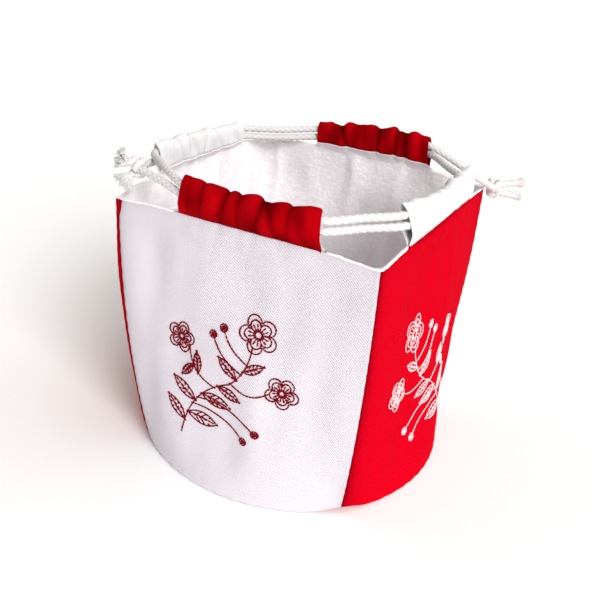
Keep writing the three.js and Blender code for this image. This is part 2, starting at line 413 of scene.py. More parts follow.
def rounded_wall(u, q, inset=0.0, spread=CORNER_ROUND):
    """The wall with its corners rounded off: past a corner it goes on over the neighbouring side."""
    total = 0.0
    places = np.linspace(-spread, spread, 9)
    for place in places:
        v = u + place
        here = bare_wall(np.where(v > 1, v - 2, np.where(v < -1, v + 2, v)), q, inset)
        past, before = (v > 1)[..., None], (v < -1)[..., None]
        total = total + np.where(past, turned(here, 1), np.where(before, turned(here, 3), here))
    return total / len(places)


def wall_normals(u, q, inset=0.0, spread=CORNER_ROUND):
    return normals(lambda a, b: rounded_wall(a, b, inset, spread), u, q)


def seam_ends(side, q):
    """Where a panel's two seams lie along its side; a shifted seam runs out further at the top."""
    spread = 1 + FLARE * smooth((q - FLARE_FROM) / (1 - FLARE_FROM))
    return -1 + SEAM_SHIFTS[side - 1] * spread, 1 + SEAM_SHIFTS[side] * spread


def from_edges(side, u, q, z):
    """How far a place on a panel is from the nearer seam and from the top edge."""
    first, last = seam_ends(side, q)
    from_seam = np.maximum(np.minimum(u - first, last - u), 0.0) * at_height(z, SIDES) / 2
    return from_seam, np.maximum(top_of(u) - z, 0.0)


def from_corner(u, z):
    """How far a place on a wall is from the nearer corner."""
    return (1 - np.abs(u)) * at_height(z, SIDES) / 2


def tuck(sizes, u, z):
    """How far the sewn bottom corners are drawn up."""
    return sizes.corner_tuck * bell(from_corner(u, z), TUCK_WIDTH) * fade(np.maximum(z, 0), TUCK_HEIGHT)


def seam_valley(side, u, z, from_seam):
    """The valley of a corner seam and the small puckers along it, alike on both its sides."""
    seam = np.where(u > 0, side, (side - 1) % 4)
    ridges = puckers(z, SEAM_PUCKERS, seam) * fade(from_seam, PUCKER_REACH)
    return ridges - VALLEY_DEPTH * fade(from_seam, VALLEY_REACH)


def wrinkle(sizes, side, s, z, from_seam, from_top):
    """How far a wall ripples out, alike in its panel and its lining."""
    waves = ripple(s, z * UPRIGHT, WALL_WAVES, side)
    waves = waves + CREASE_SHARE * ripple(s, z * UPRIGHT, WALL_CREASES, side)
    held = (1 - fade(from_seam, SEAM_HOLD)) * smooth(from_top / EDGE_HOLD) * smooth(z / EDGE_HOLD)
    return sizes.wrinkles * waves * held


def panel_point(sizes, side, u, q, lift=0.0):
    """A point of an outer panel's face with its seams, puckers and wrinkles."""
    u, q = grids(u, q)
    bare = rounded_wall(u, q)
    s, z = bare[..., 0], bare[..., 2]
    from_seam, from_top = from_edges(side, u, q, z)
    first, last = CASINGS[side]["ends"]
    under_casing = smooth((s - first) / SEAM_HOLD) * smooth((last - s) / SEAM_HOLD)
    gathers = -GATHER_SHARE * casing_folds(side, s, -from_top) * fade(from_top, GATHER_REACH)
    bulge = BULGE * under_casing * bell(from_top - BULGE_DROP, BULGE_WIDTH)
    hem = puckers(s, HEM_PUCKERS, side) * fade(z, PUCKER_REACH)
    move = (gathers + bulge + hem) * (1 - fade(from_seam, SEAM_HOLD))
    move = move + wrinkle(sizes, side, s, z, from_seam, from_top) + seam_valley(side, u, z, from_seam)
    points = bare + wall_normals(u, q) * (move + lift)[..., None]
    points[..., 2] = np.maximum(points[..., 2] + tuck(sizes, u, z), OUTER_GAP)
    return points


def panel_shade(side, u, q):
    """Painted shade: how open an outer panel's face lies to the light, less in its seams and right under its
    casing.
    """
    from_seam, from_top = from_edges(side, u, q, rounded_wall(u, q)[..., 2])
    return lit(from_seam, SEAM_SHADE) * lit(from_top, TOP_SHADE)


def lining_point(sizes, side, u, q):
    """A point of the lining's face towards the inside of the bag, which hangs loose, and its painted shade:
    how open it lies.
    """
    u, q = grids(u, q)
    inset = sizes.cloth_thickness + sizes.lining_thickness
    bare = rounded_wall(u, q, inset, LINING_ROUND)
    s, z = bare[..., 0], bare[..., 2]
    from_seam, from_top = from_corner(u, z), np.maximum(top_of(u) - z, 0.0)
    loose = (1 - fade(from_seam, LINING_HOLD)) * smooth(from_top / EDGE_HOLD)
    loose = loose * smooth((z - LINING_HEM) / EDGE_HOLD)
    move = LINING_HANG * loose * np.maximum(1 + ripple(s, z * UPRIGHT, LINING_WAVES, side), 0)
    creases = ripple(s + CREASE_SLANT * z, CREASE_PACE * z, LINING_CREASES, side)
    creases = np.maximum(creases, -CREASE_HOLLOW)
    creases = LINING_CREASE * creases * (1 - fade(from_seam, SEAM_HOLD))
    gathers = LINING_GATHER * casing_folds(side, s, -from_top) / FOLD_DEPTH
    move = move + creases * smooth(from_top / CREASE_TOP)
    move = move + gathers * fade(from_top, LINING_GATHER_REACH)
    for place, height, width in LINING_FOLDS.get(side, ()):
        slope = place + LINING_FOLD_SLANT * from_top
        move = move + height * bell(s - slope, width) * fade(from_top, LINING_FOLD_REACH)
    move = move + puckers(z, LINING_PUCKERS, side) * fade(from_seam, PUCKER_REACH)
    into = move - wrinkle(sizes, side, s, z, from_seam, from_top)
    points = bare - wall_normals(u, q, inset, LINING_ROUND) * into[..., None]
    points[..., 2] += tuck(sizes, u, z)
    return points, np.clip(LINING_OPEN + move / LINING_RELIEF, 0.0, 1.0)


# Casings, as functions of x along the side and v from the outside of the seam over the top to the inside

def casing_folds(side, x, height):
    """How far the gathers draw a casing's cloth in, at x along the side and a height above its foot."""
    drawn = np.zeros(np.broadcast(x, height).shape)
    for place, depth, slant in CASINGS[side]["folds"]:
        away = np.abs(x - place - slant * (height - FOLD_LEVEL))
        drawn = drawn + depth * np.exp(-(away / FOLD_WIDTH) ** FOLD_STEEPNESS)
    return np.minimum(drawn, FOLD_DEPTH)


def sway(side, x):
    """How far the top of a casing slants along its side, leans in over the mouth and rises."""
    casing = CASINGS[side]
    first, last = casing["ends"]
    share = np.clip((2 * x - first - last) / (last - first), -1.2, 1.2)
    before, after = np.maximum(-share, 0), np.maximum(share, 0)
    slant = casing["slants"][0] * before + casing["slants"][1] * after
    lean = casing["leans"][0] * before ** 2 + casing["leans"][1] * after ** 2
    places, heights = zip(*casing["rises"])
    around = np.linspace(-RISE_EVENED, RISE_EVENED, 9)
    rise = np.mean([np.interp(x + away, places, heights) for away in around], axis=0)
    return slant, lean, rise


def tunnel(sizes, side, along, v):
    """A casing before it is gathered: a tunnel on the seam that narrows towards both ends."""
    first, last = CASINGS[side]["ends"]
    cuts = CASINGS[side]["cuts"]
    share = np.sin(math.pi * np.clip(v, 0.0, 1.0))
    drawn = smooth(1 - np.minimum(along - first, last - along) / CASING_NARROWS)
    half = sizes.casing_width + (CASING_MOUTH - sizes.casing_width) * drawn
    swell = CASING_PINCH + (half - CASING_PINCH) * smooth(sizes.casing_height * share / CASING_SWELLS)
    width = swell * np.sqrt(np.maximum(1 - share ** CASING_SQUARE, 0.0))
    y = -CASING_OFFSET + np.where(v < 0.5, -width, width)
    short = np.where(along < 0, cuts[0], -cuts[1]) * drawn
    leg = smooth((v - 0.42) / 0.16)
    along = along + np.where(short * along < 0, short * leg, -short * (1 - leg))
    return np.stack([along, y, CASING_FOOT + sizes.casing_height * share], axis=-1)


def casing_point(sizes, side, x, v):
    """A point of a casing's outer face with its gathers, its puffs and its turned hems."""
    x, v = grids(x, v)
    first, last = CASINGS[side]["ends"]
    points = tunnel(sizes, side, x, v)
    out = normals(partial(tunnel, sizes, side), x, np.clip(v, 0.012, 0.988), 0.01)
    height = points[..., 2] - CASING_FOOT
    share = height / sizes.casing_height
    from_end = np.minimum(x - first, last - x)
    depth = FOLD_FOOT + (1 - FOLD_FOOT) * smooth(share * 2.2)
    folds = casing_folds(side, x, height) * depth * smooth(from_end / FOLD_HOLD)
    puffs = PUFF_HEIGHT * ripple(x, height * UPRIGHT, CASING_PUFFS, side)
    puffs = puffs * smooth(from_end / SEAM_HOLD) * smooth(share * 2)
    hem = END_HEM_RISE * smooth((END_HEM - from_end) / END_HEM_STEP) * smooth(share * 3)
    move = np.maximum(puffs - folds, -DRAWN_IN) + hem
    points = points + out * move[..., None]
    points = points + np.stack(sway(side, x), axis=-1) * share[..., None]
    outer_foot = (1 - smooth(share * 2.5)) * (v < 0.5)
    points[..., 2] += FOOT_WAVE_HEIGHT * ripple(x, 0.0, CASING_FOOT_WAVES, side) * outer_foot
    return points


def casing_shade(sizes, side, x, v):
    """Painted shade: how open a casing's outer face lies to the light, less in its gathers and at its foot,
    varying over its puffs.
    """
    share = np.sin(math.pi * v)
    height = sizes.casing_height * share
    gathers = casing_folds(side, x, height) / FOLD_DEPTH * (FOLD_SHADE_FOOT + (1 - FOLD_SHADE_FOOT) * share)
    puffs = PUFF_LIGHT + PUFF_VARIES * ripple(x, height * UPRIGHT, CASING_PUFFS, side)
    return np.clip((1 - FOLD_SHADE * gathers) * puffs * lit(height, FOOT_SHADE), 0.0, 1.0)


def inner_leg(sizes, side, x, height):
    """A point on the inner face of a casing, at a height above its foot."""
    v = 1 - math.asin(height / sizes.casing_height) / math.pi
    return casing_point(sizes, side, x, np.full(np.shape(x), v))


# Meshes

def settings(context):
    return context.scene.bento_sizes, context.scene.bento_colours


def new_object(name, data):
    """An object in the scene, at the origin."""
    made = bpy.data.objects.new(name, data)
    bpy.context.scene.collection.objects.link(made)
    return made


def new_piece(name, verts, faces, uv, material, relief, sharp=0.9):
    """A piece from points, faces, a UV place for every face corner and a painted shade for every point."""
    mesh = bpy.data.meshes.new(name)
    mesh.from_pydata(verts, [], faces)
    layer = mesh.uv_layers.new(name="cloth")
    layer.data.foreach_set("uv", np.asarray(uv, np.float32).ravel())
    attribute = mesh.attributes.new("relief", "FLOAT", "POINT")
    attribute.data.foreach_set("value", np.asarray(relief, np.float32).ravel())
    mesh.materials.append(material)
    mesh.shade_smooth()
    mesh.set_sharp_from_angle(angle=sharp)
    mesh.validate()
    return new_object(name, mesh)


def cloth_piece(name, outer, inner, flat, material, shade):
    """A closed sheet of cloth between two matching grids of points, with a painted shade at each point of a
    grid.
    """
    rows, cols = outer.shape[:2]
    a = np.arange(rows * cols).reshape(rows, cols)
    b = a + rows * cols
    sheets = (
        (a[:-1, :-1], a[:-1, 1:], a[1:, 1:], a[1:, :-1]), (b[:-1, :-1], b[1:, :-1], b[1:, 1:], b[:-1, 1:]),
        (a[0, 1:], a[0, :-1], b[0, :-1], b[0, 1:]), (a[-1, :-1], a[-1, 1:], b[-1, 1:], b[-1, :-1]),
        (a[:-1, 0], a[1:, 0], b[1:, 0], b[:-1, 0]), (a[1:, -1], a[:-1, -1], b[:-1, -1], b[1:, -1]))
    faces = np.concatenate([np.stack([corner.ravel() for corner in sheet], axis=1) for sheet in sheets])
    verts = np.concatenate([outer.reshape(-1, 3), inner.reshape(-1, 3)])
    uvs = np.concatenate([flat.reshape(-1, 2)] * 2)
    relief = np.concatenate([np.ravel(shade)] * 2)
    return new_piece(name, verts, faces.tolist(), uvs[faces.ravel()], material, relief)


def half_name(half):
    return "right" if half > 0 else "left"


def follow_corner(piece):
    """Half of a side, with its place baked into its mesh."""
    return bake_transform(piece)


# Node trees

def connect(node, inputs):
    """Link a node's inputs, given by name or place, to sockets, or set them to values."""
    for name, value in inputs.items():
        if isinstance(value, bpy.types.NodeSocket):
            node.id_data.links.new(value, node.inputs[name])
        else:
            node.inputs[name].default_value = value


def add_node(tree, kind, inputs=None, **options):
    """The outputs of a new node, whose options are set first and then its inputs."""
    node = tree.nodes.new(kind)
    for name, value in options.items():
        setattr(node, name, value)
    connect(node, inputs or {})
    return node.outputs


def first_of(tree, kind, inputs=None, **options):
    return add_node(tree, kind, inputs, **options)[0]


def math_node(tree, operation, a, b=0.0):
    return first_of(tree, "ShaderNodeMath", {0: a, 1: b}, operation=operation)


def vector_node(tree, x=0.0, y=0.0, z=0.0):
    return first_of(tree, "ShaderNodeCombineXYZ", {0: x, 1: y, 2: z})


def random_node(tree, low, high, seed):
    return add_node(tree, "FunctionNodeRandomValue", {2: low, 3: high, "Seed": seed}, data_type="FLOAT")[1]


def scaled_node(tree, vector, scale):
    return first_of(tree, "ShaderNodeVectorMath", {0: vector, "Scale": scale}, operation="SCALE")


def mixed_node(tree, share, one, two):
    """A colour between two, each an RGB value or a socket."""
    one, two = (c if isinstance(c, bpy.types.NodeSocket) else (*c, 1) for c in (one, two))
    return add_node(tree, "ShaderNodeMix", {0: share, 6: one, 7: two}, data_type="RGBA")[2]


def node_group(name, kind, inputs, outputs, draw):
    """A node group with named inputs and outputs, drawn when it is first asked for."""
    tree = bpy.data.node_groups.get(name)
    if tree:
        return tree
    tree = bpy.data.node_groups.new(name, kind)
    for label, (socket, value) in inputs.items():
        made = tree.interface.new_socket(label, in_out="INPUT", socket_type="NodeSocket" + socket)
        if value is not None:
            made.default_value = value
    for label, socket in outputs.items():
        tree.interface.new_socket(label, in_out="OUTPUT", socket_type="NodeSocket" + socket)
    add_node(tree, "NodeGroupOutput", draw(tree, add_node(tree, "NodeGroupInput")))
    return tree


def texture_group(name, pitch, low, high, height_of):
    """A texture's height, and its shade between a low and a high, from a cloth's own flat coordinates."""
    def draw(tree, given):
        height = height_of(tree, given["Flat"], given["Pitch"])
        shade = first_of(tree, "ShaderNodeMapRange", {"Value": height, "From Min": low, "From Max": high})
        return {"Height": height, "Shade": shade}

    inputs = {"Flat": ("Vector", None), "Pitch": ("Float", pitch)}
    return node_group(name, "ShaderNodeTree", inputs, {"Height": "Float", "Shade": "Float"}, draw)


def weave_group():
    """Diagonal twill ribs with uneven yarns."""
    def height_of(tree, flat, pitch):
        calc = partial(math_node, tree)
        x, y, _ = add_node(tree, "ShaderNodeSeparateXYZ", {0: flat})
        uneven = first_of(tree, "ShaderNodeTexNoise", {"Vector": flat, "Scale": 420.0, "Detail": 3.0})
        turns = calc("DIVIDE", math.tau / math.sqrt(2), pitch)
        across = calc("ADD", calc("ADD", x, y), calc("MULTIPLY", uneven, 0.0002))
        ribs = calc("SINE", calc("MULTIPLY", across, turns))
        weft = calc("SINE", calc("MULTIPLY", calc("SUBTRACT", x, y), turns))
        woven = calc("ADD", ribs, calc("MULTIPLY", weft, 0.35))
        return calc("ADD", woven, calc("MULTIPLY", uneven, 0.3))

    return texture_group("twill weave", 0.001, -1.1, 1.3, height_of)


def pile_group():
    """The soft, slightly lumpy pile of the lining."""
    def height_of(tree, flat, pitch):
        scale = math_node(tree, "DIVIDE", 1.0, pitch)
        tufts = add_node(tree, "ShaderNodeTexVoronoi", {"Vector": flat, "Scale": scale, "Randomness": 0.8},
                         feature="SMOOTH_F1")
        fine = math_node(tree, "MULTIPLY", scale, 2.5)
        fuzz = first_of(tree, "ShaderNodeTexNoise", {"Vector": flat, "Scale": fine, "Detail": 4.0})
        return math_node(tree, "SUBTRACT", fuzz, tufts["Distance"])

    return texture_group("soft pile", 0.002, -0.4, 0.5, height_of)


def yarn_group():
    """Fine fibres that run slantwise along a cord or a thread."""
    def height_of(tree, flat, pitch):
        slant = first_of(tree, "ShaderNodeMapping",
                         {"Vector": flat, "Rotation": (0.0, 0.0, 0.7), "Scale": (0.35, 1.0, 1.0)})
        scale = math_node(tree, "DIVIDE", 1.0, pitch)
        return first_of(tree, "ShaderNodeTexNoise", {"Vector": slant, "Scale": scale, "Detail": 3.0})

    return texture_group("cotton yarn", 0.0005, 0.3, 0.7, height_of)


def stitch_tree():
    """Rounded stitches along the edges of a mesh, each laid along its path."""
    def draw(tree, given):
        new = partial(first_of, tree)
        lines = new("GeometryNodeMeshToCurve", {0: given["Paths"]})
        points = add_node(tree, "GeometryNodeCurveToPoints", {"Curve": lines, "Length": given["Stitch"]},
                          mode="LENGTH")
        bead = new("GeometryNodeMeshUVSphere", {"Segments": 6, "Rings": 5, "Radius": 0.5})
        length = math_node(tree, "MULTIPLY", given["Stitch"], given["Overlap"])
        size = vector_node(tree, given["Thread"], given["Thread"], length)
        sewn = new("GeometryNodeInstanceOnPoints", {
            "Points": points["Points"], "Instance": bead, "Rotation": points["Rotation"],
            "Scale": scaled_node(tree, size, random_node(tree, 0.88, 1.12, given["Seed"]))})
        soft = new("GeometryNodeSetShadeSmooth", {0: new("GeometryNodeRealizeInstances", {0: sewn})})
        return {"Stitches": new("GeometryNodeSetMaterial", {0: soft, "Material": given["Finish"]})}

    inputs = {"Paths": ("Geometry", None), "Stitch": ("Float", 0.002), "Overlap": ("Float", 1.1),
              "Thread": ("Float", 0.0008), "Finish": ("Material", None), "Seed": ("Int", 7)}
    return node_group("stitches", "GeometryNodeTree", inputs, {"Stitches": "Geometry"}, draw)


def fray_tree():
    """Loose fibres that fan out from the cut end of a cord at the origin, along +Z."""
    def draw(tree, given):
        new, calc = partial(first_of, tree), partial(math_node, tree)
        seed = given["Seed"]
        angle = random_node(tree, 0.0, math.tau, seed)
        out = calc("SQRT", random_node(tree, 0.0, 1.0, calc("ADD", seed, 1.0)))
        tall = random_node(tree, 0.55, 1.05, calc("ADD", seed, 2.0))
        cos, sin = calc("COSINE", angle), calc("SINE", angle)
        reach = calc("MULTIPLY", out, calc("MULTIPLY", given["Width"], 0.5))
        place = vector_node(tree, calc("MULTIPLY", cos, reach), calc("MULTIPLY", sin, reach))
        points = new("GeometryNodePoints", {"Count": given["Fibres"], "Position": place})
        lean = calc("MULTIPLY", out, given["Spread"])
        back = calc("MULTIPLY", calc("MULTIPLY", sin, lean), -1.0)
        line = new("GeometryNodeCurvePrimitiveLine", {"End": vector_node(tree, z=given["Length"])})
        strands = new("GeometryNodeInstanceOnPoints", {
            "Points": points, "Rotation": vector_node(tree, back, calc("MULTIPLY", cos, lean)),
            "Instance": new("GeometryNodeResampleCurve", {"Curve": line, "Count": 7}, mode="COUNT"),
            "Scale": vector_node(tree, 1.0, 1.0, tall)})
        waves = add_node(tree, "ShaderNodeTexNoise", {
            "Vector": new("GeometryNodeInputPosition"), "W": calc("MULTIPLY", seed, 0.37),
            "Scale": 380.0, "Detail": 1.0}, noise_dimensions="4D")
        centred = new("ShaderNodeVectorMath", {0: waves["Color"], 1: (0.5, 0.5, 0.5)}, operation="SUBTRACT")
        along = add_node(tree, "GeometryNodeSplineParameter")["Factor"]
        bend = calc("MULTIPLY", calc("POWER", along, 1.3), given["Curl"])
        curled = new("GeometryNodeSetPosition", {
            0: new("GeometryNodeRealizeInstances", {0: strands}), "Offset": scaled_node(tree, centred, bend)})
        ring = new("GeometryNodeCurvePrimitiveCircle", {"Resolution": 4, "Radius": given["Fibre"]})
        solid = new("GeometryNodeCurveToMesh", {"Curve": curled, "Profile Curve": ring, "Fill Caps": True})
        return {"Fibres": new("GeometryNodeSetMaterial", {0: solid, "Material": given["Finish"]})}

    inputs = {"Start": ("Geometry", None), "Fibres": ("Int", 90), "Length": ("Float", 0.012),
              "Width": ("Float", 0.005), "Spread": ("Float", 0.5), "Curl": ("Float", 0.003),
              "Fibre": ("Float", 0.0002), "Finish": ("Material", None), "Seed": ("Int", 3)}
    return node_group("frayed end", "GeometryNodeTree", inputs, {"Fibres": "Geometry"}, draw)


def from_nodes(name, source, tree, values):
    """A plain mesh piece made by a node tree on a source mesh, which is then removed."""
    maker = new_object(name + "_maker", source)
    modifier = maker.modifiers.new("nodes", "NODES")
    modifier.node_group = tree
    for item in tree.interface.items_tree:
        if item.in_out == "INPUT" and item.name in values:
            modifier[item.identifier] = values[item.name]
    depsgraph = bpy.context.evaluated_depsgraph_get()
    mesh = bpy.data.meshes.new_from_object(maker.evaluated_get(depsgraph))
    maker.modifiers.clear()
    bpy.data.objects.remove(maker)
    bpy.data.meshes.remove(source)
    if not mesh.polygons:
        raise RuntimeError(name + " came out empty")
    mesh.name = name
    return new_object(name, mesh)


def path_mesh(paths):
    """A mesh of loose edges along several rows of points."""
    verts, edges = [], []
    for path in paths:
        first = len(verts)
        verts.extend(map(tuple, path))
        edges.extend((first + i, first + i + 1) for i in range(len(path) - 1))
    mesh = bpy.data.meshes.new("paths")
    mesh.from_pydata(verts, edges, [])
    return mesh


# Materials

def dimmed(colour, share):
    return tuple(c * share for c in colour)


def fabric(name, colour, texture, pitch, contrast, bump, relief=0.0, sheen=0.05, thin=0.0):
    """A matt fabric: a texture group shades and bumps it, and soft stains vary it a little."""
    material = bpy.data.materials.get(name)
    if material:
        return material
    material = bpy.data.materials.new(name)
    material.use_nodes = True
    tree = material.node_tree
    colour = tuple(colour)
    flat = first_of(tree, "ShaderNodeUVMap", uv_map="cloth")
    cloth = add_node(tree, "ShaderNodeGroup", {"Flat": flat, "Pitch": pitch}, node_tree=texture)
    base = mixed_node(tree, cloth["Shade"], dimmed(colour, 1 - contrast), colour)
    place = add_node(tree, "ShaderNodeTexCoord")["Object"]
    patches = first_of(tree, "ShaderNodeTexNoise", {"Vector": place, "Scale": 24.0, "Detail": 2.0})
    stains = first_of(tree, "ShaderNodeMapRange",
                      {"Value": patches, "From Min": 0.45, "From Max": 0.75, "To Max": 0.5})
    base = mixed_node(tree, stains, base, dimmed(colour, 0.95))
    # Painted shade: darker by the given share where each point's shade is low, in folds, seams and crevices
    if relief:
        depth = add_node(tree, "ShaderNodeAttribute", attribute_name="relief")["Fac"]
        base = mixed_node(tree, depth, dimmed(colour, 1 - relief), base)
    raised = first_of(tree, "ShaderNodeBump", {"Strength": 0.6, "Distance": bump, "Height": cloth["Height"]})
    connect(tree.nodes["Principled BSDF"], {
        "Base Color": base, "Normal": raised, "Roughness": 0.92, "Specular IOR Level": 0.01,
        "Subsurface Weight": thin, "Subsurface Radius": (1.0, 1.0, 1.0), "Subsurface Scale": 0.0040,
        "Sheen Weight": sheen, "Sheen Tint": (*colour, 1), "Sheen Roughness": 0.6})
    return material


def cord_finish(colours):
    return fabric("braided cotton", colours.cord, yarn_group(), pitch=0.0006, contrast=0.06, bump=0.0002,
                  relief=0.38)


def fluff_finish(colours):
    # The loose fibres take the cord's white dimmed by a tenth, a painted shade over the frayed tufts
    return fabric("loose cotton", dimmed(colours.cord, 0.9), yarn_group(), pitch=0.0006, contrast=0.06,
                  bump=0.0001, sheen=0.3)


def panel_finish(sizes, colours, slot):
    woven = {"texture": weave_group(), "pitch": sizes.twill, "contrast": 0.10, "bump": 0.0002}
    if slot == "red_canvas":
        return fabric("red twill", colours.red_cloth, relief=0.7, sheen=0.0, **woven)
    return fabric("white twill", colours.white_cloth, relief=0.22, **woven)


def lining_finish(colours):
    return fabric("soft lining", colours.lining, pile_group(), pitch=0.0030, contrast=0.13, bump=0.0009,
                  relief=0.16, sheen=0.1)


def casing_finish(sizes, colours, slot):
    woven = {"texture": weave_group(), "pitch": sizes.twill, "contrast": 0.05, "bump": 0.0001, "sheen": 0.0}
    if slot == "red_casing":
        return fabric("red_casing twill", colours.red_casing, relief=0.85, **woven)
    return fabric("white_casing twill", colours.white_casing, relief=0.16, thin=0.62, **woven)


def thread_finish(name, colour, contrast=0.15, sheen=0.2):
    return fabric(name + " thread", colour, yarn_group(), pitch=0.0004, contrast=contrast, bump=0.0001,
                  sheen=sheen)


# Cords

def smooth_route(points, count):
    """Points along a centripetal Catmull-Rom curve through the given points."""
    points = np.asarray(points, float)
    before, after = 2 * points[0] - points[1], 2 * points[-1] - points[-2]
    knots = np.vstack([before, points, after])
    route = []
    for i in range(len(points) - 1):
        p0, p1, p2, p3 = knots[i:i + 4]
        d0, d1, d2 = np.maximum(steps(knots[i:i + 4]) ** 0.5, 1e-4)
        m1 = ((p1 - p0) / d0 - (p2 - p0) / (d0 + d1) + (p2 - p1) / d1) * d1
        m2 = ((p2 - p1) / d1 - (p3 - p1) / (d1 + d2) + (p3 - p2) / d2) * d1
        t = np.linspace(0, 1, count)[:, None]
        t = t if i == 0 else t[1:]
        route.append(p1 * (2 * t ** 3 - 3 * t ** 2 + 1) + m1 * (t ** 3 - 2 * t ** 2 + t)
                     + p2 * (3 * t ** 2 - 2 * t ** 3) + m2 * (t ** 3 - t ** 2))
    return np.vstack(route)


def even_steps(route, step):
    """The same route with points about the given step apart."""
    lengths = running(steps(route))
    count = max(int(round(lengths[-1] / step)), 4) + 1
    places = np.linspace(0, lengths[-1], count)
    return np.stack([np.interp(places, lengths, route[:, i]) for i in range(3)], axis=1)


def route_frames(route):
    """Two directions square to a route at each of its points, carried along without twist."""
    ways = unit(np.gradient(route, axis=0))
    side = [unit(np.cross(ways[0], (0, 0, 1.0)))]
    for way in ways[1:]:
        side.append(unit(side[-1] - way * np.dot(side[-1], way)))
    side = np.array(side)
    return side, np.cross(ways, side)


def braid(along, around, diameter):
    """Radius and depth of a braided cord: strands of two slants pass over and under each other."""
    turns = STRANDS * around / math.tau
    lays = along / (STRAND_STEP * diameter)
    one, two = turns + lays, turns - lays
    over = (np.floor(one) + np.floor(two)) % 2 < 1
    across = np.where(over, one % 1.0, two % 1.0) * 2 - 1
    lengthwise = np.where(over, two % 1.0, one % 1.0) * 2 - 1
    height = np.sqrt(np.maximum(1 - 0.95 * across ** 2, 0)) * (1 - 0.4 * lengthwise ** 2)
    return diameter * (CORE + RIDGE * height), height


def cord_piece(name, route, frames, start_length, diameter, material, sides=24):
    """A braided tube along a route, closed at both ends."""
    lengths = start_length + running(steps(route))
    around = np.linspace(0, math.tau, sides, endpoint=False)
    radius, height = braid(lengths[:, None], around[None, :], diameter)
    one, two = (way[:, None, :] for way in frames)
    ring = np.cos(around)[:, None] * one + np.sin(around)[:, None] * two
    verts = (route[:, None, :] + ring * radius[..., None]).reshape(-1, 3)
    last = (len(route) - 1) * sides
    i, j = np.meshgrid(np.arange(len(route) - 1), np.arange(sides), indexing="ij")
    corners = ((0, 0), (0, 1), (1, 1), (1, 0))
    quads = np.stack([(i + a) * sides + (j + b) % sides for a, b in corners], axis=-1)
    girth = math.pi * diameter / sides
    uv = np.stack([np.stack([lengths[i + a], (j + b) * girth], -1) for a, b in corners], axis=2)
    caps = [list(range(sides))[::-1], list(range(last, last + sides))]
    uvs = np.concatenate([uv.reshape(-1, 2), np.zeros((2 * sides, 2))])
    # The braid's height is kept at each point as painted shade, darkest in the crevices between strands
    return new_piece(name, verts, quads.reshape(-1, 4).tolist() + caps, uvs, material, height, sharp=1.4)


def threaded(sizes, side, x, level):
    """A point of a cord in the casing of a side, which hangs and leans as the casing does."""
    slant, lean, rise = sway(side, np.asarray(x))
    share = (level - CASING_FOOT) / sizes.casing_height
    return turned((x + slant * share, -CASING_OFFSET + lean * share, level + rise * CORD_HANG), side)


def inside_run(sizes, side, half, level):
    """Points of a cord from the middle of a side to just before one end of its casing."""
    end = CASINGS[side]["ends"][half > 0]
    places = [half * place for place in RUN_PLACES]
    if abs(end) - DRAWN_FROM > LONG_END:
        places.append(half * (DRAWN_FROM + abs(end) - END_GAP) / 2)
    return [threaded(sizes, side, x, level) for x in places]


def mouth_of(sizes, side, half, level):
    """The point where a cord comes out of one end of a casing."""
    end = CASINGS[side]["ends"][half > 0]
    return threaded(sizes, side, end + half * CORD_OUT, level)


def knot_centre(name):
    low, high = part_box(name + "_knot")
    return np.array((low + high) / 2)


def strand_points(sizes, side, half, level, centre):
    """Points of a strand from where the cord is drawn, out of its casing to a knot."""
    run = inside_run(sizes, side, half, level)[len(RUN_PLACES) - 1:]
    mouth = mouth_of(sizes, side, half, level)
    middle = mouth + (centre - mouth) * STRAND_MIDDLE + np.array([0, 0, STRAND_LIFT])
    return [*run, mouth, middle, centre + unit(middle - centre) * KNOT_SEAT]


# Each drawcord: its level, its knot, the side it starts on, and the bow and lift of its three free corners
DRAWCORDS = (
    ("lower", "left", 0, ((0.0, 0.0), (0.0, 0.0), (0.001, -0.001))),
    ("upper", "right", 2, ((0.001, -0.001), (0.003, 0.002), (0.0, 0.0))),
)


def cord_sections(sizes, level, knot, first, corners):
    """The pieces of one drawcord in order: what each is, its side and half, its corner, and its points."""
    height = CORD_LEVELS[level]
    centre = knot_centre(knot)
    last = (first + 3) % 4
    sections = [("strand", first, -1, None, strand_points(sizes, first, -1, height, centre)[::-1]),
                ("run", first, -1, None, inside_run(sizes, first, -1, height)[:len(RUN_PLACES)][::-1])]
    for step, (bow, lift) in enumerate(corners):
        side, following = (first + step) % 4, (first + step + 1) % 4
        leaving, entering = mouth_of(sizes, side, 1, height), mouth_of(sizes, following, -1, height)
        middle = (leaving + entering) / 2
        middle = middle + unit(middle * (1, 1, 0)) * bow + np.array([0, 0, lift])
        node = CORNER_AFTER[side] + "_" + level + "_cord"
        sections.append(("run", side, 1, node, [*inside_run(sizes, side, 1, height), leaving, middle]))
        sections.append(("run", following, -1, node,
                         [middle, entering, *inside_run(sizes, following, -1, height)[::-1]]))
    sections.append(("run", last, 1, None, inside_run(sizes, last, 1, height)[:len(RUN_PLACES)]))
    sections.append(("strand", last, 1, None, strand_points(sizes, last, 1, height, centre)))
    return sections


def cord_routes(sections, count=20):
    """One smooth route through all the points of a cord, cut into the routes of its pieces."""
    points = [point for section in sections for point in section[4][:-1]] + [sections[-1][4][-1]]
    whole = smooth_route(points, count + 1)
    routes, begin = [], 0
    for section in sections:
        end = begin + count * (len(section[4]) - 1)
        routes.append(even_steps(whole[begin:end + 1], CORD_STEP))
        begin = end
    return routes


